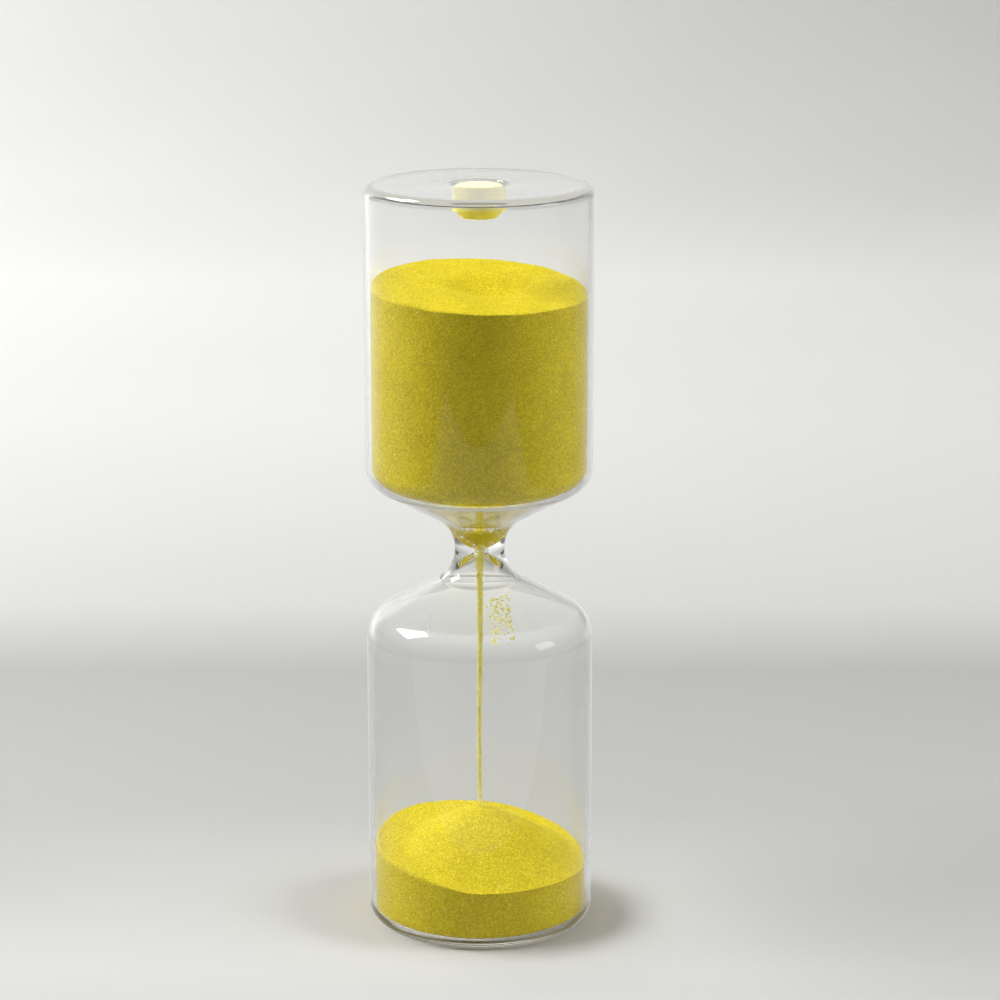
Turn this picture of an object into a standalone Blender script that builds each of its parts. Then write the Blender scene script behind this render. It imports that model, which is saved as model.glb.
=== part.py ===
"""A sealed cylinder hourglass, caught while it runs.

One blown borosilicate vessel holds coloured sand in two bulbs, and a rubber plug closes the hole that
it is filled through. Metres, +Z up. The origin is the centre of the base, and +Z is the vessel's axis.
"""
import math

import bmesh
import bpy
from mathutils import Vector

# --- Driving dimensions (metres, radians) -----------------------------------------------------------
HEIGHT = 0.200
OUTER_RADIUS = 0.030
WALL = 0.0015
DISC = 0.0018                 # thickness of the flat top
FLOOR = 0.0022                # thickness of the flat base
RIM_BEND = 0.0025             # outside bend between the top and the side
BASE_BEND = 0.0042            # outside bend between the side and the base

# The waist: two sloping shoulders that run into one thick neck
NECK_HEIGHT = 0.1028
NECK_RADIUS = 0.0066
NECK_BEND = 0.0095            # the waist's round outside, seen from the side
NECK_STRAIGHT = 0.0002        # a short upright stretch in the middle of it
SHOULDER_SLOPE = math.radians(29.0)
UPPER_BEND = 0.0070
LOWER_BEND = 0.0085

# The throat, which sets how fast the sand runs
THROAT_RADIUS = 0.0016
THROAT_TOP = 0.1039
THROAT_BOTTOM = 0.1019
THROAT_BEND = 0.0008
BOWL_RADIUS = 0.0032          # the round bowl just above the throat
BOWL_HEIGHT = 0.1052
BOWL_BEND = 0.0025
FUNNEL_CUP_RADIUS = 0.0054    # inside the neck the funnel turns steeper from this radius on
FUNNEL_CUP_BEND = 0.0025
OUTLET_CUP_RADIUS = 0.0100    # and below the throat the inside opens steeply out to this one
OUTLET_CUP_BEND = 0.0025

# The plug and its hole in the top
PLUG_TOP = HEIGHT - 0.0002
PLUG_TOP_RADIUS = 0.0074
PLUG_TAPER_END = 0.1936
PLUG_TAPER_RADIUS = 0.0066
PLUG_FOOT = 0.1913
PLUG_FOOT_RADIUS = 0.0049
PLUG_CROWN = 0.0022           # round edge of the plug's top, which makes a low dome of it
PLUG_FOOT_BEND = 0.0010
HOLE_EDGE = 0.0006            # round edges of the hole
PLUG_CLEARANCE = 0.0003

# The sand: a tilted level in each bulb, a pit above the throat and a heap below it
GAP = 0.0003                  # between a sand body and whatever it lies against
UPPER_LEVEL = 0.1735
UPPER_TILT = 0.0025           # rise at the wall, on the high side
UPPER_TILT_AZIMUTH = math.radians(120.0)
PIT_CENTRE = (0.0040, 0.0010) # it draws a little to one side
PIT_DEPTH = 0.0034
PIT_RADIUS = 0.0120
LOWER_LEVEL = 0.0193
LOWER_TILT = 0.0040
LOWER_TILT_AZIMUTH = math.radians(140.0)
LOWER_DISH = 0.0008           # how far the bed sinks from the wall to the middle
LOWER_DIP = 0.0016            # a hollow in the bed, against the glass
LOWER_DIP_CENTRE = (0.0010, -0.0280)
LOWER_DIP_RADIUS = 0.0130
HEAP_TOP = 0.0306
HEAP_SLOPE = math.radians(34.0)
HEAP_ROUND = 0.0060           # how round the heap's top is
STREAM_RADIUS = THROAT_RADIUS - GAP
SPEED_UP = 0.0023             # drop over which the falling sand doubles its energy

# --- Mesh fineness ----------------------------------------------------------------------------------
GLASS_STEPS = 40
SOLID_STEPS = 32
STREAM_STEPS = 12
STREAM_STRETCHES = 5
SURFACE_RINGS = 9
ARC_STEP = math.radians(18.0)
MERGE_DISTANCE = 0.00001
SMOOTH_ANGLE = math.radians(40.0)

# --- Looks ------------------------------------------------------------------------------------------
GLASS_COLOUR = (0.95, 0.97, 0.95, 1.0)
PLUG_COLOUR = (0.68, 0.55, 0.08, 1.0)
SAND_COLOUR = (0.66, 0.54, 0.04, 1.0)

INNER_RADIUS = OUTER_RADIUS - WALL
SAND_RADIUS = INNER_RADIUS - GAP

# Heights where the shoulders' straight outsides would meet the neck
NECK_REACH = NECK_BEND * math.tan((math.pi / 2 - SHOULDER_SLOPE) / 2) + NECK_STRAIGHT / 2
FUNNEL_FOOT = NECK_HEIGHT + NECK_REACH
SHOULDER_HEAD = NECK_HEIGHT - NECK_REACH


def clear_scene():
    for old in list(bpy.data.objects):
        bpy.data.objects.remove(old, do_unlink=True)


def make_collection(name):
    collection = bpy.data.collections.new(name)
    bpy.context.scene.collection.children.link(collection)
    return collection


def make_material(name, colour, roughness, transmission=0.0, ior=1.5):
    material = bpy.data.materials.new(name)
    material.use_nodes = True
    shader = material.node_tree.nodes["Principled BSDF"]
    shader.inputs["Base Color"].default_value = colour
    shader.inputs["Roughness"].default_value = roughness
    shader.inputs["Metallic"].default_value = 0.0
    shader.inputs["Transmission Weight"].default_value = transmission
    shader.inputs["IOR"].default_value = ior
    return material


def bend(before, corner, after, radius):
    """Points of the arc that rounds a corner between two straight stretches."""
    towards_before = (before - corner).normalized()
    towards_after = (after - corner).normalized()
    half = towards_before.angle(towards_after) / 2
    centre = corner + (towards_before + towards_after).normalized() * (radius / math.sin(half))
    first = corner + towards_before * (radius / math.tan(half)) - centre
    turn = math.pi - 2 * half
    if first.x * (corner - centre).y - first.y * (corner - centre).x < 0:
        turn = -turn
    steps = max(1, math.ceil(abs(turn) / ARC_STEP))
    points = []
    for step in range(steps + 1):
        angle = math.atan2(first.y, first.x) + turn * step / steps
        points.append(centre + Vector((math.cos(angle), math.sin(angle))) * radius)
    return points


def rounded(corners):
    """An outline through (radius, height, bend radius) corners, with a true arc at each bend."""
    places = [Vector((radius, height)) for radius, height, _ in corners]
    points = []
    for index, (_, _, bend_radius) in enumerate(corners):
        if bend_radius:
            points += bend(places[index - 1], places[index], places[index + 1], bend_radius)
        else:
            points.append(places[index])
    return points


def turned(name, outline, steps, material, collection):
    """A solid of revolution about Z, from an outline that runs down its outer side."""
    mesh = bpy.data.meshes.new(name)
    edges = [(index, index + 1) for index in range(len(outline) - 1)]
    mesh.from_pydata([(point.x, 0.0, point.y) for point in outline], edges, [])
    part = bpy.data.objects.new(name, mesh)
    collection.objects.link(part)
    screw = part.modifiers.new("turn", "SCREW")
    screw.axis = "Z"
    screw.angle = math.tau
    screw.steps = steps
    screw.render_steps = steps
    screw.use_merge_vertices = True
    screw.merge_threshold = MERGE_DISTANCE
    screw.use_smooth_shade = True
    mesh.materials.append(material)
    return part


def as_mesh(part):
    """Replaces a part's modifiers by the mesh that they make."""
    evaluated = part.evaluated_get(bpy.context.evaluated_depsgraph_get())
    mesh = bpy.data.meshes.new_from_object(evaluated)
    part.modifiers.clear()
    part.data = mesh
    mesh.shade_smooth()
    mesh.set_sharp_from_angle(angle=SMOOTH_ANGLE)


def shape_surface(part, level, height_at):
    """Moves the points of a flat top at one level to the height that a function gives."""
    as_mesh(part)
    shape = bmesh.new()
    shape.from_mesh(part.data)
    for point in shape.verts:
        if abs(point.co.z - level) < MERGE_DISTANCE:
            point.co.z = height_at(point.co.x, point.co.y)
    shape.to_mesh(part.data)
    shape.free()


def tilt(x, y, rise, azimuth):
    """Height that a tilted level adds at a place, rise being its value at the wall."""
    return rise * (x * math.cos(azimuth) + y * math.sin(azimuth)) / SAND_RADIUS


def upper_surface(x, y):
    """The sinking level, with the shallow pit that the throat draws."""
    distance = math.hypot(x - PIT_CENTRE[0], y - PIT_CENTRE[1])
    pit = PIT_DEPTH * math.exp(-2.0 * (distance / PIT_RADIUS) ** 2)
    return UPPER_LEVEL + tilt(x, y, UPPER_TILT, UPPER_TILT_AZIMUTH) - pit


def lower_surface(x, y):
    """The tilted, dished bed, or the heap under the stream where that stands higher."""
    distance = math.hypot(x, y)
    bed = LOWER_LEVEL + tilt(x, y, LOWER_TILT, LOWER_TILT_AZIMUTH)
    bed += LOWER_DISH * ((distance / SAND_RADIUS) ** 2 - 0.5)
    from_dip = math.hypot(x - LOWER_DIP_CENTRE[0], y - LOWER_DIP_CENTRE[1])
    bed -= LOWER_DIP * math.exp(-2.0 * (from_dip / LOWER_DIP_RADIUS) ** 2)
    round_distance = math.hypot(distance, HEAP_ROUND) - HEAP_ROUND
    heap = HEAP_TOP - round_distance * math.tan(HEAP_SLOPE)
    return max(bed, heap)


def surface_rings(level):
    """The flat top that a sand body starts with, as points from the axis out to its wall."""
    return [Vector((SAND_RADIUS * ring / SURFACE_RINGS, level)) for ring in range(SURFACE_RINGS)]


def funnel_inside(gap):
    """Inside of the upper bulb from its side down to the throat, drawn in by a gap."""
    side = INNER_RADIUS - gap
    run = math.tan(SHOULDER_SLOPE)
    lift = (WALL + gap) / math.cos(SHOULDER_SLOPE)
    cup_height = FUNNEL_FOOT + (FUNNEL_CUP_RADIUS - NECK_RADIUS) * run + lift
    return [
        (side, cup_height + (side - FUNNEL_CUP_RADIUS) * run, UPPER_BEND - WALL - gap),
        (FUNNEL_CUP_RADIUS - gap, cup_height, FUNNEL_CUP_BEND),
        (BOWL_RADIUS - gap, BOWL_HEIGHT + gap, BOWL_BEND),
        (THROAT_RADIUS - gap, THROAT_TOP + gap, THROAT_BEND),
    ]


def outlet_inside():
    """Inside of the lower bulb from the throat out to its side."""
    drop = WALL / math.cos(SHOULDER_SLOPE)
    run = math.tan(SHOULDER_SLOPE)
    cup_height = SHOULDER_HEAD - (OUTLET_CUP_RADIUS - NECK_RADIUS) * run - drop
    side_height = cup_height - (INNER_RADIUS - OUTLET_CUP_RADIUS) * run
    return [
        (THROAT_RADIUS, THROAT_BOTTOM, THROAT_BEND),
        (OUTLET_CUP_RADIUS, cup_height, OUTLET_CUP_BEND),
        (INNER_RADIUS, side_height, LOWER_BEND - WALL),
    ]


def plug_radius(height):
    """Radius of the plug's tapered side at a height, which the hole follows."""
    share = (height - PLUG_TAPER_END) / (PLUG_TOP - PLUG_TAPER_END)
    return PLUG_TAPER_RADIUS + (PLUG_TOP_RADIUS - PLUG_TAPER_RADIUS) * share


def make_glass_vessel(collection):
    """Both bulbs, the neck, the flat ends and the fill hole, blown as one piece of glass."""
    hole_bottom = (plug_radius(HEIGHT - DISC) + PLUG_CLEARANCE, HEIGHT - DISC, HOLE_EDGE)
    hole_top = (plug_radius(HEIGHT) + PLUG_CLEARANCE, HEIGHT, HOLE_EDGE)
    shoulder_rise = (OUTER_RADIUS - NECK_RADIUS) * math.tan(SHOULDER_SLOPE)
    inside = [
        (0.0, FLOOR, 0.0),
        (INNER_RADIUS, FLOOR, BASE_BEND - WALL),
        *reversed(outlet_inside()),
        *reversed(funnel_inside(0.0)),
        (INNER_RADIUS, HEIGHT - DISC, RIM_BEND - WALL),
    ]
    outside = [
        (OUTER_RADIUS, HEIGHT, RIM_BEND),
        (OUTER_RADIUS, FUNNEL_FOOT + shoulder_rise, UPPER_BEND),
        (NECK_RADIUS, FUNNEL_FOOT, NECK_BEND),
        (NECK_RADIUS, SHOULDER_HEAD, NECK_BEND),
        (OUTER_RADIUS, SHOULDER_HEAD - shoulder_rise, LOWER_BEND),
        (OUTER_RADIUS, 0.0, BASE_BEND),
        (0.0, 0.0, 0.0),
    ]
    outline = rounded([*inside, hole_bottom, hole_top, *outside])
    glass = make_material("clear_glass", GLASS_COLOUR, 0.02, transmission=1.0, ior=1.47)
    return turned("glass_vessel", outline, GLASS_STEPS, glass, collection)


def make_fill_stopper(collection):
    """The tapered rubber plug, with a chamfered foot that starts it in the hole."""
    outline = rounded([
        (0.0, PLUG_TOP, 0.0),
        (PLUG_TOP_RADIUS, PLUG_TOP, PLUG_CROWN),
        (PLUG_TAPER_RADIUS, PLUG_TAPER_END, PLUG_FOOT_BEND),
        (PLUG_FOOT_RADIUS, PLUG_FOOT, PLUG_FOOT_BEND),
        (0.0, PLUG_FOOT, 0.0),
    ])
    rubber = make_material("yellow_rubber", PLUG_COLOUR, 0.45)
    return turned("fill_stopper", outline, SOLID_STEPS, rubber, collection)


def make_upper_sand(collection, sand):
    """The sand still to run, which fills the funnel down to the throat."""
    outline = surface_rings(UPPER_LEVEL) + rounded([
        (SAND_RADIUS, UPPER_LEVEL, 0.0),
        *funnel_inside(GAP)[:-1],
        (THROAT_RADIUS - GAP, THROAT_TOP + GAP, 0.0),
        (0.0, THROAT_TOP + GAP, 0.0),
    ])
    part = turned("upper_sand", outline, SOLID_STEPS, sand, collection)
    shape_surface(part, UPPER_LEVEL, upper_surface)
    return part


def stream_radius(drop):
    """The thread's radius below the throat. It narrows as it speeds up, as a falling jet does."""
    return STREAM_RADIUS * (1 + drop / SPEED_UP) ** -0.25


def make_sand_stream(collection, sand):
    """The falling thread of sand, with shorter stretches near the throat, where it narrows fastest."""
    foot = HEAP_TOP + GAP
    outline = [Vector((0.0, THROAT_TOP)), Vector((STREAM_RADIUS, THROAT_TOP))]
    for stretch in range(STREAM_STRETCHES + 1):
        drop = (THROAT_BOTTOM - foot) * (stretch / STREAM_STRETCHES) ** 2
        outline.append(Vector((stream_radius(drop), THROAT_BOTTOM - drop)))
    outline.append(Vector((0.0, foot)))
    return turned("sand_stream", outline, STREAM_STEPS, sand, collection)


def make_lower_sand(collection, sand):
    """The sand that has run, lying on the base with a heap under the stream."""
    outline = surface_rings(LOWER_LEVEL) + rounded([
        (SAND_RADIUS, LOWER_LEVEL, 0.0),
        (SAND_RADIUS, FLOOR + GAP, BASE_BEND - WALL - GAP),
        (0.0, FLOOR + GAP, 0.0),
    ])
    part = turned("lower_sand", outline, SOLID_STEPS, sand, collection)
    shape_surface(part, LOWER_LEVEL, lower_surface)
    return part


def main():
    clear_scene()
    hourglass = make_collection("hourglass")
    sand = make_material("yellow_sand", SAND_COLOUR, 0.85)
    make_glass_vessel(hourglass)
    make_fill_stopper(hourglass)
    make_upper_sand(hourglass, sand)
    make_sand_stream(hourglass, sand)
    make_lower_sand(hourglass, sand)


main()
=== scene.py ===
"""Looks of the running hourglass: blown glass, a rubber plug, and coloured sand in three bodies.

Metres, +Z up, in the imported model's frame. Heights and radii come from the CAD boxes where a box gives
them, and the other sizes repeat the design's own.
"""
import math
import random

import bmesh
import bpy
from mathutils import Euler, Matrix, Vector, noise


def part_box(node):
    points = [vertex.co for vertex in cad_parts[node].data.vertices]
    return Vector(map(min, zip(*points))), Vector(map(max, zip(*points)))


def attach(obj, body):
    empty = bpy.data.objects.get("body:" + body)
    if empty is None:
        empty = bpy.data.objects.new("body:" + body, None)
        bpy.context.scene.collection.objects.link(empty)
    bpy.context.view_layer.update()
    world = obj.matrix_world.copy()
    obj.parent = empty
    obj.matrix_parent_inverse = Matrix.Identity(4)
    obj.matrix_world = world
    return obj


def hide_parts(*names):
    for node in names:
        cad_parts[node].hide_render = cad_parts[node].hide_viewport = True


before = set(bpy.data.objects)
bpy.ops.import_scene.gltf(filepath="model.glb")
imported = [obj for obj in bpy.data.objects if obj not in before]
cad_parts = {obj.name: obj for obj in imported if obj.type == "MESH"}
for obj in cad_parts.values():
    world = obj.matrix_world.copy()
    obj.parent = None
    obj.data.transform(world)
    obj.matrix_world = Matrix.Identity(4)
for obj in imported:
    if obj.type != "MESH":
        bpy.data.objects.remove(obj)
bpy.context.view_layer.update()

MM = 0.001

# --- Sizes from the frame ---------------------------------------------------------------------------
_, VESSEL_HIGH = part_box("glass_vessel")
PLUG_LOW, PLUG_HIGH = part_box("fill_stopper")
HEIGHT = VESSEL_HIGH[2]
OUTER_RADIUS = VESSEL_HIGH[0]

# --- Sizes of the design ----------------------------------------------------------------------------
WALL = 1.5 * MM
DISC = 1.8 * MM
FLOOR = 2.2 * MM
RIM_BEND = 2.5 * MM
BASE_BEND = 4.2 * MM
UPPER_BEND = 7.0 * MM
LOWER_BEND = 8.5 * MM
NECK_HEIGHT = 102.8 * MM
NECK_RADIUS = 6.6 * MM
NECK_BEND = 9.5 * MM
NECK_STRAIGHT = 0.2 * MM       # a short upright stretch in the middle of the neck
SHOULDER_SLOPE = math.radians(29.0)
THROAT_RADIUS = 1.6 * MM
THROAT_TOP = 103.9 * MM
THROAT_BOTTOM = 101.9 * MM
THROAT_BEND = 0.8 * MM
BOWL_RADIUS = 3.2 * MM         # the round bowl just above the throat
BOWL_HEIGHT = 105.2 * MM
BOWL_BEND = 2.5 * MM
FUNNEL_CUP_RADIUS = 5.4 * MM
FUNNEL_CUP_BEND = 2.5 * MM
OUTLET_CUP_RADIUS = 10.0 * MM
OUTLET_CUP_BEND = 2.5 * MM
INNER_RADIUS = OUTER_RADIUS - WALL

PLUG_TOP_RADIUS = 7.4 * MM
PLUG_TAPER_END = 193.6 * MM
PLUG_TAPER_RADIUS = 6.6 * MM
PLUG_FOOT_RADIUS = 4.9 * MM
PLUG_FOOT_BEND = 1.0 * MM
PLUG_CLEARANCE = 0.3 * MM
PLUG_CROWN = 2.2 * MM         # round edge of the top, which shows as a low dome
CROWN_PALE_BELOW = 0.3        # the crown is fully pale from its top down to this share of its height
HOLE_EDGE = 0.6 * MM

# The render stops following light after four reflections, so light that the bends trap by total
# reflection would end black. It gets this glow instead, whose strength and tones were chosen.
GLASS_IOR = 1.47
TRAPPED_AFTER = 3.5
TRAPPED_GLOW = 0.33
TRAPPED_TONES = (             # height in mm, colour: yellowish by the sand and dark by the table
    (0.0, (0.30, 0.27, 0.14, 1)),
    (20.0, (0.45, 0.43, 0.30, 1)),
    (70.0, (0.75, 0.74, 0.68, 1)),
    (110.0, (0.62, 0.60, 0.50, 1)),
    (190.0, (0.95, 0.93, 0.84, 1)),
)

# Low rings round the fill hole
RIPPLE = 0.10 * MM
RIPPLE_START = 8.5 * MM
RIPPLE_REACH = 7.0 * MM
RIPPLE_LENGTH = 4.2 * MM
RIPPLE_UNEVEN = 0.5           # how much their depth changes on the way round
RIPPLE_PHASE = 0.7            # phase of that change, in radians
TOP_FACE_DEPTH = 0.4 * MM     # points this near the top belong to its outer face

# The sand
SAND_GAP = 0.10 * MM
FUNNEL_GAP = -0.045 * MM      # below zero: low in the funnel the outermost grains touch the glass
SAND_RADIUS = INNER_RADIUS - SAND_GAP
GRAIN = 0.30 * MM
UPPER_LEVEL = 173.5 * MM
UPPER_TILT = 2.5 * MM
UPPER_TILT_AZIMUTH = math.radians(120.0)
PIT_CENTRE = (4.0 * MM, 1.0 * MM)
PIT_DEPTH = 3.4 * MM
PIT_RADIUS = 12.0 * MM
LOWER_LEVEL = 19.3 * MM
LOWER_TILT = 4.0 * MM
LOWER_TILT_AZIMUTH = math.radians(140.0)
LOWER_DISH = 0.8 * MM
LOWER_DIP = 1.6 * MM          # a hollow in the bed, against the glass in front
LOWER_DIP_CENTRE = (1.0 * MM, -28.0 * MM)
LOWER_DIP_RADIUS = 13.0 * MM
HEAP_TOP = 30.6 * MM
HEAP_SLOPE = math.radians(34.0)
HEAP_ROUND = 6.0 * MM
SAND_EDGE = 1.0 * MM          # round edge where a surface meets the glass
HEAP_BLEND = 1.5 * MM         # how softly the heap runs out into the bed
UPPER_WAVES = (0.35 * MM, 9.0 * MM, 0.0)    # low waves: height, length, and the slice of noise they come from
LOWER_WAVES = (0.25 * MM, 8.0 * MM, 7.0)
SHAPED_DEPTH = 3.0 * MM       # how far down into the sand the shape of its surface reaches
GRAIN_RELIEF = 0.10 * MM
FOOT_REACH = 0.4 * MM         # how far the upper sand reaches down into the throat

# The falling sand and the clinging grains
STREAM_GAP = 0.25 * MM
STREAM_RADIUS = THROAT_RADIUS - STREAM_GAP
SPEED_UP = 2.3 * MM           # drop over which the falling sand doubles its energy
STREAM_GRAINS = 5200
STREAM_CROWDING = 0.8         # below 1 puts more of the grains near the throat
STREAM_SPREAD = 0.6           # 0.5 would fill the thread evenly; more gathers it to the middle
STREAM_SUNK = 0.2 * MM        # how far it reaches into the heap
STREAM_DRIFT = 0.12 * MM
STREAM_DRIFT_LENGTH = 11 * MM
STUCK_GRAINS = 520
PATCH_START = 1.4             # the patch's left side, width, slant, inner radius and reach, in millimetres
PATCH_WIDTH = 6.0
PATCH_SLANT = 1.8
PATCH_INNER = 12.0
PATCH_REACH = 15.0
STUCK_GAP = 0.25 * MM
CLUMP = 0.8 * MM              # size of the patch's clumps, and how empty it is between them
CLUMP_THRESHOLD = 0.08

# The studio
PAPER_DEPTHS = (-0.5, 1.0)    # the stretch of the paper's painted shade, in depth behind the hourglass
PAPER_TONES_PAINTED_SHADE = (               # its greys by depth, with painted shade: darker in front and in a band just behind
    (-0.50, 0.30),
    (-0.14, 0.49),
    (-0.04, 0.58),
    (0.08, 0.44),
    (0.22, 0.41),
    (0.30, 0.58),
    (0.60, 0.77),
    (0.95, 0.92),
)
TABLE_NEAR = -3.0
TABLE_FAR = 1.2
SWEEP_RADIUS = 0.8            # the curve from the table up to the wall
WALL_TOP = 3.0
PAPER_HALF_WIDTH = 4.0
PAPER_BELOW = 0.0002          # how far the paper lies below the base

SKY_LIGHT = (0.0, 0.94)       # the sky's own light: from in front, and from behind
SKY_LIGHT_DEPTHS = (-0.6, 0.5)
SKY_THROUGH_GLASS = 0.75      # what the glass shows of the room by refraction
SKY_MIRRORED = (0.10, 0.85)   # and by reflection: at the sides, and straight behind
SKY_MIRRORED_DEPTHS = (0.5, 0.95)

KEY_DISTANCE = 1.3
FILL_DISTANCE = 1.1
WASH_PLACE = (-1.25, 1.4, 0.80)
WASH_AIM = (-0.1, 1.45, 0.05)
WINDOW_DISTANCE = 1.6

ROOM_DISTANCE = 0.62          # the dark room in front, narrower near the table
ROOM_HALF_OUTLINE = ((0.09, 0.0), (0.31, 0.053), (0.31, 0.40))
LIT_TABLE_HALF_WIDTH = 0.4    # the bright table in front
LIT_TABLE_DEPTHS = (-0.6, -0.1)
LIT_TABLE_HEIGHT = 0.001

# The camera
LENS = 114.9                  # millimetres
FILM_WIDTH = 36.0
CAMERA_PLACE = (0.0054, -0.8158, 0.3253)
CAMERA_DIP = 14.4             # degrees that it looks down

# --- Mesh fineness ----------------------------------------------------------------------------------
GLASS_STEPS = 256
SAND_STEPS = 480
PLUG_STEPS = 96
SURFACE_RINGS = 90
SWEEP_STEPS = 16
ARC_STEP = math.radians(4.0)
STRAIGHT_STEP = 2.0 * MM
FINE_STEP = 0.5 * MM
ON_AXIS = 1e-7                # a radius below this is a point on the axis

# Heights where the shoulders' straight outsides would meet the neck
NECK_REACH = NECK_BEND * math.tan((math.pi / 2 - SHOULDER_SLOPE) / 2) + NECK_STRAIGHT / 2
FUNNEL_FOOT = NECK_HEIGHT + NECK_REACH
SHOULDER_HEAD = NECK_HEIGHT - NECK_REACH


# --- Outlines ---------------------------------------------------------------------------------------
def bend(before, corner, after, radius):
    """Points of the arc that rounds a corner between two straight stretches."""
    towards_before = (before - corner).normalized()
    towards_after = (after - corner).normalized()
    half = towards_before.angle(towards_after) / 2
    centre = corner + (towards_before + towards_after).normalized() * (radius / math.sin(half))
    first = corner + towards_before * (radius / math.tan(half)) - centre
    turn = math.pi - 2 * half
    if first.x * (corner - centre).y - first.y * (corner - centre).x < 0:
        turn = -turn
    steps = max(2, math.ceil(abs(turn) / ARC_STEP))
    points = []
    for step in range(steps + 1):
        angle = math.atan2(first.y, first.x) + turn * step / steps
        points.append(centre + Vector((math.cos(angle), math.sin(angle))) * radius)
    return points


def rounded(corners, straight_step=STRAIGHT_STEP):
    """An outline through (radius, height, bend radius) corners, with points along its straight runs."""
    places = [Vector((radius, height)) for radius, height, _ in corners]
    rough = []
    for index, (_, _, bend_radius) in enumerate(corners):
        if bend_radius:
            rough += bend(places[index - 1], places[index], places[index + 1], bend_radius)
        else:
            rough.append(places[index])
    points = [rough[0]]
    for here, there in zip(rough, rough[1:]):
        pieces = max(1, math.ceil((there - here).length / straight_step))
        points += [here.lerp(there, piece / pieces) for piece in range(1, pieces + 1)]
    return points


def funnel_inside(gap):
    """Inside of the upper bulb from its side down to the throat, drawn in by a gap."""
    side = INNER_RADIUS - gap
    run = math.tan(SHOULDER_SLOPE)
    lift = (WALL + gap) / math.cos(SHOULDER_SLOPE)
    cup_height = FUNNEL_FOOT + (FUNNEL_CUP_RADIUS - NECK_RADIUS) * run + lift
    return [
        (side, cup_height + (side - FUNNEL_CUP_RADIUS) * run, UPPER_BEND - WALL - gap),
        (FUNNEL_CUP_RADIUS - gap, cup_height, FUNNEL_CUP_BEND),
        (BOWL_RADIUS - gap, BOWL_HEIGHT + gap, BOWL_BEND),
        (THROAT_RADIUS - gap, THROAT_TOP + gap, THROAT_BEND),
    ]


def outlet_inside():
    """Inside of the lower bulb from the throat out to its side."""
    drop = WALL / math.cos(SHOULDER_SLOPE)
    run = math.tan(SHOULDER_SLOPE)
    cup_height = SHOULDER_HEAD - (OUTLET_CUP_RADIUS - NECK_RADIUS) * run - drop
    side_height = cup_height - (INNER_RADIUS - OUTLET_CUP_RADIUS) * run
    return [
        (THROAT_RADIUS, THROAT_BOTTOM, THROAT_BEND),
        (OUTLET_CUP_RADIUS, cup_height, OUTLET_CUP_BEND),
        (INNER_RADIUS, side_height, LOWER_BEND - WALL),
    ]


def plug_radius(height):
    """Radius of the plug's tapered side at a height, which the hole follows."""
    share = (height - PLUG_TAPER_END) / (PLUG_HIGH[2] - PLUG_TAPER_END)
    return PLUG_TAPER_RADIUS + (PLUG_TOP_RADIUS - PLUG_TAPER_RADIUS) * share


# --- Mesh making ------------------------------------------------------------------------------------
def revolved(name, outline, steps):
    """A closed turned mesh, from an outline that starts and ends on the axis."""
    angles = [step * (math.tau / steps) for step in range(steps)]
    shape = bmesh.new()
    rings = []
    for radius, height in outline:
        if radius < ON_AXIS:
            rings.append([shape.verts.new((0.0, 0.0, height))])
        else:
            rings.append([
                shape.verts.new((radius * math.cos(angle), radius * math.sin(angle), height))
                for angle in angles
            ])
    for upper, lower in zip(rings, rings[1:]):
        for step in range(steps):
            after = (step + 1) % steps
            corners = [upper[step % len(upper)], lower[step % len(lower)]]
            corners += [lower[after % len(lower)], upper[after % len(upper)]]
            unique = list(dict.fromkeys(corners))
            if len(unique) > 2:
                shape.faces.new(unique)
    bmesh.ops.recalc_face_normals(shape, faces=shape.faces)
    mesh = bpy.data.meshes.new(name)
    shape.to_mesh(mesh)
    shape.free()
    mesh.shade_smooth()
    piece = bpy.data.objects.new(name, mesh)
    bpy.context.scene.collection.objects.link(piece)
    return piece


def move_points(piece, move):
    """Moves every point of a piece by a function of its place."""
    for point in piece.data.vertices:
        point.co = move(point.co)
    piece.data.update()


def place(piece, material, slot, body, *nodes):
    """Finishes a piece: its material, its body and the nodes that it stands for. Its slot is not used."""
    piece.data.materials.clear()
    piece.data.materials.append(material)
    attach(piece, body)
    if nodes:
        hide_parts(*nodes)


# --- Materials --------------------------------------------------------------------------------------
class Nodes:
    """A short way to write a material's nodes."""

    def __init__(self, name):
        self.material = bpy.data.materials.new(name)
        self.material.use_nodes = True
        self.tree = self.material.node_tree
        self.shader = self.tree.nodes["Principled BSDF"]

    def add(self, kind, **settings):
        """A new node, with values for its inputs or its settings by name."""
        node = self.tree.nodes.new(kind)
        for key, value in settings.items():
            if key in node.inputs:
                node.inputs[key].default_value = value
            else:
                setattr(node, key, value)
        return node

    def link(self, source, target):
        self.tree.links.new(source, target)

    def position(self):
        return self.add("ShaderNodeTexCoord").outputs["Object"]

    def ramp(self, source, stops):
        """A colour ramp with (place, colour) stops."""
        node = self.add("ShaderNodeValToRGB")
        ramp = node.color_ramp
        while len(ramp.elements) < len(stops):
            ramp.elements.new(0.5)
        for element, (where, colour) in zip(ramp.elements, stops):
            element.position = where
            element.color = colour
        self.link(source, node.inputs["Fac"])
        return node.outputs["Color"]


def grey(level):
    return (level, level, level, 1)


def separate_height(nodes, place_of):
    """The height of a place, as a socket."""
    parts = nodes.add("ShaderNodeSeparateXYZ")
    nodes.link(place_of, parts.inputs["Vector"])
    return parts.outputs["Z"]


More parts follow.
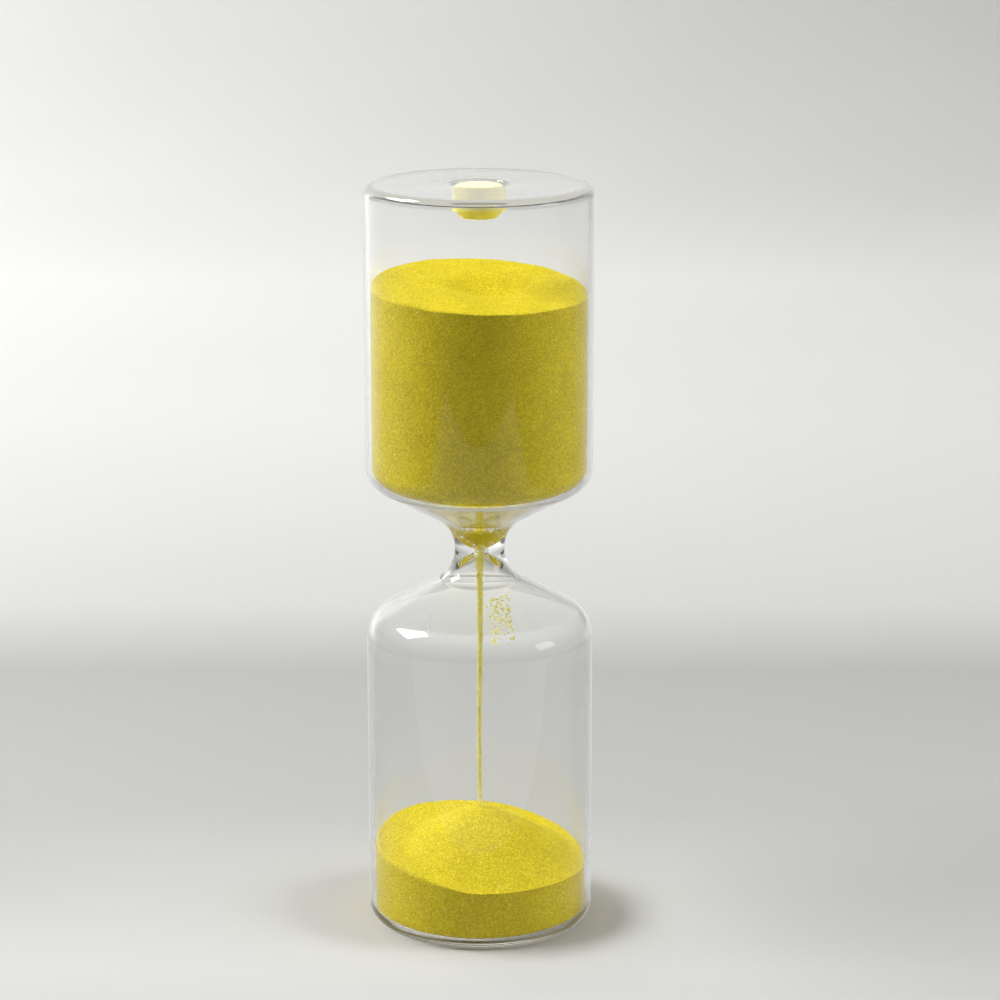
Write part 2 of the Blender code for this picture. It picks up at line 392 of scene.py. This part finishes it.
def glow_where_trapped(nodes, place_of):
    """A pale glow, toned by height, for light that has been reflected more than three times. Its strength
    goes with what the surface reflects."""
    level = nodes.add("ShaderNodeMapRange")
    level.inputs["From Max"].default_value = HEIGHT
    nodes.link(separate_height(nodes, place_of), level.inputs["Value"])
    around = nodes.ramp(level.outputs["Result"], [
        (height * MM / HEIGHT, tone) for height, tone in TRAPPED_TONES
    ])
    nodes.link(around, nodes.shader.inputs["Emission Color"])
    path = nodes.add("ShaderNodeLightPath")
    trapped = nodes.add("ShaderNodeMath", operation="GREATER_THAN")
    nodes.link(path.outputs["Glossy Depth"], trapped.inputs[0])
    trapped.inputs[1].default_value = TRAPPED_AFTER
    mirror = nodes.add("ShaderNodeFresnel", IOR=GLASS_IOR)
    kept = nodes.add("ShaderNodeMath", operation="MULTIPLY")
    nodes.link(trapped.outputs["Value"], kept.inputs[0])
    nodes.link(mirror.outputs["Fac"], kept.inputs[1])
    glow = nodes.add("ShaderNodeMath", operation="MULTIPLY")
    nodes.link(kept.outputs["Value"], glow.inputs[0])
    glow.inputs[1].default_value = TRAPPED_GLOW
    nodes.link(glow.outputs["Value"], nodes.shader.inputs["Emission Strength"])
    nodes.material.cycles.emission_sampling = "NONE"


def glass_material():
    """Clear borosilicate, with the faint waves and film of hand-worked glass."""
    nodes = Nodes("clear_borosilicate")
    shader = nodes.shader
    shader.inputs["IOR"].default_value = GLASS_IOR
    shader.inputs["Transmission Weight"].default_value = 1.0
    shader.inputs["Specular Tint"].default_value = grey(0.45)
    place_of = nodes.position()
    film = nodes.add("ShaderNodeTexNoise", Scale=90.0, Detail=3.0)
    nodes.link(place_of, film.inputs["Vector"])
    tint = nodes.ramp(film.outputs["Fac"], [
        (0.35, (0.985, 0.99, 0.985, 1)),
        (0.7, (0.975, 0.98, 0.968, 1)),
    ])
    nodes.link(tint, shader.inputs["Base Color"])
    haze = nodes.ramp(film.outputs["Fac"], [(0.4, grey(0.0)), (0.8, grey(0.02))])
    nodes.link(haze, shader.inputs["Roughness"])
    wave = nodes.add("ShaderNodeTexNoise", Scale=60.0, Detail=1.0)
    nodes.link(place_of, wave.inputs["Vector"])
    bump = nodes.add("ShaderNodeBump", Strength=0.02, Distance=0.001)
    nodes.link(wave.outputs["Fac"], bump.inputs["Height"])
    nodes.link(bump.outputs["Normal"], shader.inputs["Normal"])
    glow_where_trapped(nodes, place_of)
    return nodes.material


def sand_material():
    """Fine dyed sand: grains of many yellows, with painted glints on a few grains that would catch the light.
    """
    nodes = Nodes("yellow_grains")
    shader = nodes.shader
    place_of = nodes.position()
    grains = nodes.add("ShaderNodeTexVoronoi", Scale=1 / GRAIN)
    nodes.link(place_of, grains.inputs["Vector"])
    split = nodes.add("ShaderNodeSeparateColor")
    nodes.link(grains.outputs["Color"], split.inputs["Color"])
    hue = nodes.ramp(split.outputs["Red"], [
        (0.0, (0.55, 0.42, 0.008, 1)),
        (0.35, (0.67, 0.53, 0.009, 1)),
        (0.8, (0.80, 0.65, 0.014, 1)),
        (1.0, (0.88, 0.75, 0.03, 1)),
    ])
    cloud = nodes.add("ShaderNodeTexNoise", Scale=120.0, Detail=4.0)
    nodes.link(place_of, cloud.inputs["Vector"])
    shade = nodes.ramp(cloud.outputs["Fac"], [(0.3, (0.90, 0.89, 0.80, 1)), (0.7, grey(1.0))])
    tone = nodes.add("ShaderNodeMix", data_type="RGBA", blend_type="MULTIPLY")
    tone.inputs["Factor"].default_value = 1.0
    nodes.link(hue, tone.inputs["A"])
    nodes.link(shade, tone.inputs["B"])
    # Painted glints: a few grains get a bright pale yellow base colour in place of real glints.
    painted_glint_mask = nodes.ramp(split.outputs["Green"], [(0.995, grey(0.0)), (0.998, grey(1.0))])
    with_painted_glints = nodes.add("ShaderNodeMix", data_type="RGBA")
    nodes.link(painted_glint_mask, with_painted_glints.inputs["Factor"])
    nodes.link(tone.outputs["Result"], with_painted_glints.inputs["A"])
    with_painted_glints.inputs["B"].default_value = (1.0, 0.92, 0.30, 1)
    nodes.link(with_painted_glints.outputs["Result"], shader.inputs["Base Color"])
    gloss = nodes.ramp(split.outputs["Blue"], [(0.0, grey(0.9)), (1.0, grey(0.55))])
    nodes.link(gloss, shader.inputs["Roughness"])
    shader.inputs["Specular IOR Level"].default_value = 0.1
    bump = nodes.add("ShaderNodeBump", Strength=0.7, Distance=GRAIN * 0.4)
    bump.invert = True
    nodes.link(grains.outputs["Distance"], bump.inputs["Height"])
    nodes.link(bump.outputs["Normal"], shader.inputs["Normal"])
    return nodes.material


def loose_grain_material():
    """Single grains with painted light: paler yellows than packed sand, for the light all round them."""
    nodes = Nodes("loose_grains")
    shader = nodes.shader
    cells = nodes.add("ShaderNodeTexVoronoi", Scale=1 / GRAIN)
    nodes.link(nodes.position(), cells.inputs["Vector"])
    split = nodes.add("ShaderNodeSeparateColor")
    nodes.link(cells.outputs["Color"], split.inputs["Color"])
    # Painted light: these yellows are paler than the packed sand's, for grains lit from all round.
    colour = nodes.ramp(split.outputs["Red"], [
        (0.0, (0.88, 0.76, 0.08, 1)),
        (0.6, (0.96, 0.88, 0.20, 1)),
        (1.0, (1.0, 0.95, 0.48, 1)),
    ])
    nodes.link(colour, shader.inputs["Base Color"])
    gloss = nodes.ramp(split.outputs["Blue"], [(0.0, grey(0.7)), (1.0, grey(0.35))])
    nodes.link(gloss, shader.inputs["Roughness"])
    shader.inputs["Subsurface Weight"].default_value = 0.6
    shader.inputs["Subsurface Scale"].default_value = GRAIN
    shader.inputs["Subsurface Radius"].default_value = (1.0, 0.9, 0.3)
    return nodes.material


def rubber_material():
    """Smooth moulded silicone rubber, translucent, and pale at its crown."""
    nodes = Nodes("yellow_silicone")
    shader = nodes.shader
    place_of = nodes.position()
    mottle = nodes.add("ShaderNodeTexNoise", Scale=350.0, Detail=3.0)
    nodes.link(place_of, mottle.inputs["Vector"])
    colour = nodes.ramp(mottle.outputs["Fac"], [(0.3, (0.95, 0.83, 0.17, 1)), (0.7, (1.0, 0.89, 0.22, 1))])
    # The crown is mixed towards a pale cream, fully from its top down to CROWN_PALE_BELOW of its height.
    rise = nodes.add("ShaderNodeMapRange")
    rise.inputs["From Min"].default_value = PLUG_HIGH[2] - PLUG_CROWN
    rise.inputs["From Max"].default_value = PLUG_HIGH[2] - CROWN_PALE_BELOW * PLUG_CROWN
    nodes.link(separate_height(nodes, place_of), rise.inputs["Value"])
    crown_paling = nodes.add("ShaderNodeMix", data_type="RGBA")
    nodes.link(rise.outputs["Result"], crown_paling.inputs["Factor"])
    nodes.link(colour, crown_paling.inputs["A"])
    crown_paling.inputs["B"].default_value = (0.86, 0.82, 0.55, 1)
    nodes.link(crown_paling.outputs["Result"], shader.inputs["Base Color"])
    gloss = nodes.ramp(mottle.outputs["Fac"], [(0.3, grey(0.22)), (0.7, grey(0.30))])
    nodes.link(gloss, shader.inputs["Roughness"])
    shader.inputs["Subsurface Weight"].default_value = 0.6
    shader.inputs["Subsurface Scale"].default_value = 0.003
    shader.inputs["Subsurface Radius"].default_value = (1.0, 0.95, 0.4)
    return nodes.material


def paper_material():
    """Matte studio paper: grey in front and a darker band behind, both painted shade, and nearly white far
    back.
    """
    nodes = Nodes("paper_painted_shade")
    place_of = nodes.position()
    parts = nodes.add("ShaderNodeSeparateXYZ")
    nodes.link(place_of, parts.inputs["Vector"])
    near, far = PAPER_DEPTHS
    along = nodes.add("ShaderNodeMapRange")
    along.inputs["From Min"].default_value = near
    along.inputs["From Max"].default_value = far
    nodes.link(parts.outputs["Y"], along.inputs["Value"])
    # Painted shade by depth: darker in front, where less light should bounce up, and a painted shadow in a
    # band just behind.
    tone = nodes.ramp(along.outputs["Result"], [
        ((depth - near) / (far - near), (grey, grey, 0.98 * grey, 1)) for depth, grey in PAPER_TONES_PAINTED_SHADE
    ])
    cloud = nodes.add("ShaderNodeTexNoise", Scale=3.0, Detail=2.0)
    nodes.link(place_of, cloud.inputs["Vector"])
    patches = nodes.ramp(cloud.outputs["Fac"], [(0.3, grey(0.97)), (0.7, grey(1.0))])
    uneven = nodes.add("ShaderNodeMix", data_type="RGBA", blend_type="MULTIPLY")
    uneven.inputs["Factor"].default_value = 1.0
    nodes.link(tone, uneven.inputs["A"])
    nodes.link(patches, uneven.inputs["B"])
    nodes.link(uneven.outputs["Result"], nodes.shader.inputs["Base Color"])
    nodes.shader.inputs["Roughness"].default_value = 0.75
    nodes.shader.inputs["Specular IOR Level"].default_value = 0.2
    return nodes.material


# --- Glass ------------------------------------------------------------------------------------------
def make_glass():
    """The blown vessel, finely turned, then made as uneven as hand-worked glass is."""
    hole_bottom = (plug_radius(HEIGHT - DISC) + PLUG_CLEARANCE, HEIGHT - DISC, HOLE_EDGE)
    hole_top = (plug_radius(HEIGHT) + PLUG_CLEARANCE, HEIGHT, HOLE_EDGE)
    rise = (OUTER_RADIUS - NECK_RADIUS) * math.tan(SHOULDER_SLOPE)
    outline = rounded([
        (0.0, FLOOR, 0.0),
        (INNER_RADIUS, FLOOR, BASE_BEND - WALL),
        *reversed(outlet_inside()),
        *reversed(funnel_inside(0.0)),
        (INNER_RADIUS, HEIGHT - DISC, RIM_BEND - WALL),
        hole_bottom,
        hole_top,
        (OUTER_RADIUS, HEIGHT, RIM_BEND),
        (OUTER_RADIUS, FUNNEL_FOOT + rise, UPPER_BEND),
        (NECK_RADIUS, FUNNEL_FOOT, NECK_BEND),
        (NECK_RADIUS, SHOULDER_HEAD, NECK_BEND),
        (OUTER_RADIUS, SHOULDER_HEAD - rise, LOWER_BEND),
        (OUTER_RADIUS, 0.0, BASE_BEND),
        (0.0, 0.0, 0.0),
    ])
    piece = revolved("blown_glass_vessel", outline, GLASS_STEPS)

    def ripple(point):
        """Low rings round the fill hole, where the disc was worked, on its outer face only."""
        distance = math.hypot(point.x, point.y)
        if point.z < HEIGHT - TOP_FACE_DEPTH or distance > OUTER_RADIUS - RIM_BEND:
            return point
        swell = RIPPLE * math.exp(-(distance - RIPPLE_START) / RIPPLE_REACH)
        ring = 0.5 - 0.5 * math.cos((distance - RIPPLE_START) / RIPPLE_LENGTH * math.tau)
        angle = math.atan2(point.y, point.x)
        uneven = 1.0 + RIPPLE_UNEVEN * math.sin(angle * 2 + RIPPLE_PHASE)
        return Vector((point.x, point.y, point.z - swell * ring * uneven))

    move_points(piece, ripple)
    piece.visible_shadow = False
    piece.visible_diffuse = False
    place(piece, glass_material(), "clear_glass", "vessel", "glass_vessel")


# --- Plug -------------------------------------------------------------------------------------------
def make_plug():
    """The tapered plug, finely turned."""
    outline = rounded([
        (0.0, PLUG_HIGH[2], 0.0),
        (PLUG_TOP_RADIUS, PLUG_HIGH[2], PLUG_CROWN),
        (PLUG_TAPER_RADIUS, PLUG_TAPER_END, PLUG_FOOT_BEND),
        (PLUG_FOOT_RADIUS, PLUG_LOW[2], PLUG_FOOT_BEND),
        (0.0, PLUG_LOW[2], 0.0),
    ], FINE_STEP)
    piece = revolved("rubber_plug", outline, PLUG_STEPS)
    place(piece, rubber_material(), "yellow_rubber", "stopper", "fill_stopper")


# --- Sand -------------------------------------------------------------------------------------------
def tilt(x, y, rise, azimuth):
    """Height that a tilted level adds at a place, rise being its value at the wall."""
    return rise * (x * math.cos(azimuth) + y * math.sin(azimuth)) / SAND_RADIUS


def waves(x, y, height, length, level):
    """The low waves of a sand surface, from one slice of a noise field."""
    return height * noise.noise(Vector((x, y, level)) / length)


def upper_surface(x, y):
    """The sinking level, with the pit that the throat draws."""
    distance = math.hypot(x - PIT_CENTRE[0], y - PIT_CENTRE[1])
    pit = PIT_DEPTH * math.exp(-2.0 * (distance / PIT_RADIUS) ** 2)
    level = UPPER_LEVEL + tilt(x, y, UPPER_TILT, UPPER_TILT_AZIMUTH)
    return level - pit + waves(x, y, *UPPER_WAVES)


def lower_surface(x, y):
    """The dished bed and the heap under the stream, blended where they meet."""
    distance = math.hypot(x, y)
    bed = LOWER_LEVEL + tilt(x, y, LOWER_TILT, LOWER_TILT_AZIMUTH)
    bed += LOWER_DISH * ((distance / SAND_RADIUS) ** 2 - 0.5)
    round_distance = math.hypot(distance, HEAP_ROUND) - HEAP_ROUND
    heap = HEAP_TOP - round_distance * math.tan(HEAP_SLOPE)
    from_dip = math.hypot(x - LOWER_DIP_CENTRE[0], y - LOWER_DIP_CENTRE[1])
    bed -= LOWER_DIP * math.exp(-2.0 * (from_dip / LOWER_DIP_RADIUS) ** 2)
    high = 0.5 * (bed + heap + math.sqrt((bed - heap) ** 2 + HEAP_BLEND ** 2))
    return high + waves(x, y, *LOWER_WAVES)


def roughen(piece, depth):
    """Gives a sand body the relief of its grains."""
    texture = bpy.data.textures.new(piece.name + "_relief", "CLOUDS")
    texture.noise_scale = GRAIN
    texture.noise_depth = 1
    relief = piece.modifiers.new("relief", "DISPLACE")
    relief.texture = texture
    relief.texture_coords = "LOCAL"
    relief.mid_level = 1.0     # so that it only goes inwards
    relief.strength = depth


def surfaced(name, top_level, height_at, corners):
    """A sand body with a fine flat top, shaped by a function of the place, and a round edge to it."""
    flat = SAND_RADIUS - SAND_EDGE
    rings = [Vector((flat * ring / SURFACE_RINGS, top_level)) for ring in range(SURFACE_RINGS)]
    last_ring = (*rings[-1], 0.0)
    edge = (SAND_RADIUS, top_level, SAND_EDGE)
    outline = rings + rounded([last_ring, edge, *corners], FINE_STEP)[1:]
    piece = revolved(name, outline, SAND_STEPS)

    def shape(point):
        share = min(max((point.z - top_level + SHAPED_DEPTH) / SHAPED_DEPTH, 0.0), 1.0)
        rise = height_at(point.x, point.y) - top_level
        return Vector((point.x, point.y, point.z + rise * share))

    move_points(piece, shape)
    roughen(piece, GRAIN_RELIEF)
    return piece


def make_sand():
    """Both sand bodies, the falling thread and the clinging grains."""
    sand = sand_material()
    throat = (THROAT_RADIUS - SAND_GAP, THROAT_TOP - FOOT_REACH)
    upper = surfaced("upper_sand_grains", UPPER_LEVEL, upper_surface, [
        funnel_inside(SAND_GAP)[0],
        *funnel_inside(FUNNEL_GAP)[1:],
        (*throat, 0.0),
        (0.0, throat[1], 0.0),
    ])
    place(upper, sand, "yellow_sand", "vessel", "upper_sand")
    lower = surfaced("lower_sand_grains", LOWER_LEVEL, lower_surface, [
        (SAND_RADIUS, FLOOR + SAND_GAP, BASE_BEND - WALL - SAND_GAP),
        (0.0, FLOOR + SAND_GAP, 0.0),
    ])
    place(lower, sand, "yellow_sand", "vessel", "lower_sand")
    place(make_stream(), loose_grain_material(), "yellow_sand", "vessel", "sand_stream")
    place(make_stuck_grains(), loose_grain_material(), "yellow_sand", "vessel")


def grains_piece(name, centres, sizes, chance):
    """Many separate angular grains in one mesh, each turned and stretched at random."""
    shape = bmesh.new()
    bmesh.ops.create_icosphere(shape, subdivisions=1, radius=0.5)
    corners = [point.co.copy() for point in shape.verts]
    sides = [[point.index for point in face.verts] for face in shape.faces]
    shape.free()
    points = []
    faces = []
    for centre, size in zip(centres, sizes):
        turn = Euler([chance.uniform(0, math.tau) for _ in range(3)]).to_matrix()
        stretch = Matrix.Diagonal([size * chance.uniform(0.75, 1.25) for _ in range(3)])
        first = len(points)
        points += [centre + turn @ stretch @ corner for corner in corners]
        faces += [[first + corner for corner in side] for side in sides]
    mesh = bpy.data.meshes.new(name)
    mesh.from_pydata(points, [], faces)
    piece = bpy.data.objects.new(name, mesh)
    bpy.context.scene.collection.objects.link(piece)
    return piece


def stream_radius(height):
    """The thread narrows as it speeds up, as a falling jet does."""
    drop = max(THROAT_BOTTOM - height, 0.0)
    return STREAM_RADIUS * (1 + drop / SPEED_UP) ** -0.25


def make_stream():
    """The falling thread of separate grains, dense at the throat and looser as it speeds up."""
    chance = random.Random(5)
    foot = HEAP_TOP - STREAM_SUNK
    centres = []
    for _ in range(STREAM_GRAINS):
        height = foot + (THROAT_TOP - foot) * chance.random() ** STREAM_CROWDING
        radius = stream_radius(height) * chance.random() ** STREAM_SPREAD
        angle = chance.uniform(0, math.tau)
        drift = STREAM_DRIFT * math.sin((THROAT_TOP - height) / STREAM_DRIFT_LENGTH)
        centres.append(Vector((radius * math.cos(angle) + drift, radius * math.sin(angle), height)))
    sizes = [GRAIN * chance.uniform(0.8, 1.1) for _ in centres]
    return grains_piece("falling_sand", centres, sizes, chance)


def make_stuck_grains():
    """A few grains that cling to the inside of the lower shoulder, in front."""
    chance = random.Random(11)
    drop = WALL / math.cos(SHOULDER_SLOPE)
    centres = []
    while len(centres) < STUCK_GRAINS:
        down = chance.random()
        across = (PATCH_START + PATCH_WIDTH * chance.random() + PATCH_SLANT * down) * MM
        distance = (PATCH_INNER + PATCH_REACH * down) * MM
        height = SHOULDER_HEAD - (distance - NECK_RADIUS) * math.tan(SHOULDER_SLOPE) - drop
        depth = -math.sqrt(max(distance ** 2 - across ** 2, 0.0))
        centre = Vector((across, depth, height - STUCK_GAP))
        if noise.noise(centre / CLUMP) > CLUMP_THRESHOLD:
            centres.append(centre)
    sizes = [GRAIN * chance.uniform(0.9, 1.4) for _ in centres]
    return grains_piece("clinging_grains", centres, sizes, chance)


# --- Studio -----------------------------------------------------------------------------------------
def make_backdrop():
    """A pale table that sweeps up into a wall far behind."""
    shape = bmesh.new()
    outline = [(TABLE_NEAR, 0.0), (TABLE_FAR, 0.0)]
    for step in range(1, SWEEP_STEPS + 1):
        angle = math.radians(90) * step / SWEEP_STEPS
        depth = TABLE_FAR + SWEEP_RADIUS * math.sin(angle)
        outline.append((depth, SWEEP_RADIUS * (1 - math.cos(angle))))
    outline.append((TABLE_FAR + SWEEP_RADIUS, WALL_TOP))
    left = [shape.verts.new((-PAPER_HALF_WIDTH, y, z - PAPER_BELOW)) for y, z in outline]
    right = [shape.verts.new((PAPER_HALF_WIDTH, y, z - PAPER_BELOW)) for y, z in outline]
    for index in range(len(outline) - 1):
        shape.faces.new((left[index], right[index], right[index + 1], left[index + 1]))
    mesh = bpy.data.meshes.new("studio_sweep")
    shape.to_mesh(mesh)
    shape.free()
    mesh.shade_smooth()
    mesh.materials.append(paper_material())
    sweep = bpy.data.objects.new("studio_sweep", mesh)
    bpy.context.scene.collection.objects.link(sweep)
    sweep.visible_glossy = False


def towards(azimuth, elevation):
    """A direction. Azimuth 0 is behind the object, and 90 to its right."""
    across = math.radians(azimuth)
    up = math.radians(elevation)
    return Vector((math.sin(across) * math.cos(up), math.cos(across) * math.cos(up), math.sin(up)))


def softbox(name, place_at, aim, width, height, power):
    """A lamp that lights the sand, the plug and the paper. The glass reflects the cards instead."""
    light = bpy.data.lights.new(name, "AREA")
    light.shape = "RECTANGLE"
    light.size = width
    light.size_y = height
    light.energy = power
    lamp = bpy.data.objects.new(name, light)
    lamp.location = place_at
    lamp.rotation_euler = (Vector(place_at) - Vector(aim)).to_track_quat("Z", "Y").to_euler()
    lamp.visible_glossy = False
    lamp.visible_transmission = False
    bpy.context.scene.collection.objects.link(lamp)


def card_material(name, radiance):
    """A glowing sheet, a little uneven, like cloth over a window."""
    nodes = Nodes(name)
    cloud = nodes.add("ShaderNodeTexNoise", Scale=6.0, Detail=3.0)
    nodes.link(nodes.position(), cloud.inputs["Vector"])
    glow = nodes.ramp(cloud.outputs["Fac"], [(0.3, grey(0.7)), (0.7, grey(1.0))])
    nodes.link(glow, nodes.shader.inputs["Emission Color"])
    nodes.shader.inputs["Emission Strength"].default_value = radiance
    nodes.shader.inputs["Base Color"].default_value = (0, 0, 0, 1)
    nodes.shader.inputs["Specular IOR Level"].default_value = 0.0
    return nodes.material


def card(name, corners, radiance):
    """A stage card that is only seen as a reflection in the glass."""
    mesh = bpy.data.meshes.new(name)
    mesh.from_pydata([tuple(corner) for corner in corners], [], [tuple(range(len(corners)))])
    mesh.materials.append(card_material(name, radiance))
    sheet = bpy.data.objects.new(name, mesh)
    sheet.visible_camera = False
    sheet.visible_diffuse = False
    sheet.visible_transmission = False
    sheet.visible_shadow = False
    bpy.context.scene.collection.objects.link(sheet)


def window_card(name, azimuths, elevations, radiance):
    """A card that fills a range of azimuth and elevation, seen from the neck."""
    middle = Vector((0.0, 0.0, NECK_HEIGHT))
    corners = [
        middle + towards(azimuths[side], elevations[level]) * WINDOW_DISTANCE
        for side, level in ((0, 0), (1, 0), (1, 1), (0, 1))
    ]
    card(name, corners, radiance)


def make_cards():
    """The window at the left, a smaller light at the right, and the dark room over the table in front."""
    window_card("left_window", azimuths=(-88, -56), elevations=(34, 58), radiance=30.0)
    window_card("right_window", azimuths=(94, 116), elevations=(16, 34), radiance=9.0)
    mirrored = [(-across, height) for across, height in reversed(ROOM_HALF_OUTLINE)]
    room = [(across, -ROOM_DISTANCE, height) for across, height in [*ROOM_HALF_OUTLINE, *mirrored]]
    card("dark_front", room, radiance=0.0)
    near, far = LIT_TABLE_DEPTHS
    right = LIT_TABLE_HALF_WIDTH
    table = [(-right, near), (right, near), (right, far), (-right, far)]
    card("table_front", [(x, y, LIT_TABLE_HEIGHT) for x, y in table], radiance=1.3)


def make_sky():
    """A soft room light: dim in front where it lights things, and pale where it is seen in the glass."""
    world = bpy.data.worlds.new("studio")
    bpy.context.scene.world = world
    world.use_nodes = True
    tree = world.node_tree
    direction = tree.nodes.new("ShaderNodeTexCoord")
    parts = tree.nodes.new("ShaderNodeSeparateXYZ")
    tree.links.new(direction.outputs["Generated"], parts.inputs["Vector"])
    path = tree.nodes.new("ShaderNodeLightPath")

    def by_depth(depths, values):
        """A strength that changes from one value to the other with the direction's depth."""
        change = tree.nodes.new("ShaderNodeMapRange")
        change.inputs["From Min"].default_value = depths[0]
        change.inputs["From Max"].default_value = depths[1]
        change.inputs["To Min"].default_value = values[0]
        change.inputs["To Max"].default_value = values[1]
        tree.links.new(parts.outputs["Y"], change.inputs["Value"])
        return change.outputs["Result"]

    mirrored = tree.nodes.new("ShaderNodeMix")
    tree.links.new(path.outputs["Is Glossy Ray"], mirrored.inputs["Factor"])
    mirrored.inputs["A"].default_value = SKY_THROUGH_GLASS
    tree.links.new(by_depth(SKY_MIRRORED_DEPTHS, SKY_MIRRORED), mirrored.inputs["B"])
    choice = tree.nodes.new("ShaderNodeMix")
    tree.links.new(path.outputs["Is Diffuse Ray"], choice.inputs["Factor"])
    tree.links.new(mirrored.outputs["Result"], choice.inputs["A"])
    tree.links.new(by_depth(SKY_LIGHT_DEPTHS, SKY_LIGHT), choice.inputs["B"])
    background = tree.nodes["Background"]
    background.inputs["Color"].default_value = (1.0, 1.0, 0.99, 1)
    tree.links.new(choice.outputs["Result"], background.inputs["Strength"])


def make_lights():
    """The key at the left, a small fill at the right, a wash on the paper behind, the sky and the cards."""
    middle = Vector((0.0, 0.0, NECK_HEIGHT))
    key_place = middle + towards(azimuth=-88, elevation=45) * KEY_DISTANCE
    fill_place = middle + towards(azimuth=98, elevation=34) * FILL_DISTANCE
    softbox("key_softbox", key_place, middle, width=0.80, height=0.58, power=17.3)
    softbox("fill_softbox", fill_place, middle, width=0.40, height=0.40, power=5.8)
    softbox("backdrop_wash", WASH_PLACE, WASH_AIM, width=0.7, height=0.5, power=10.0)
    make_sky()
    make_cards()


def make_camera():
    """A long lens a little above the hourglass."""
    lens = bpy.data.cameras.new("camera")
    lens.lens = LENS
    lens.sensor_width = FILM_WIDTH
    lens.clip_start = 0.01
    camera = bpy.data.objects.new("camera", lens)
    camera.location = CAMERA_PLACE
    camera.rotation_euler = (math.radians(90 - CAMERA_DIP), 0.0, 0.0)
    bpy.context.scene.collection.objects.link(camera)
    bpy.context.scene.camera = camera


make_glass()
make_plug()
make_sand()
make_backdrop()
make_lights()
make_camera()
bpy.context.scene.view_settings.view_transform = "Standard"
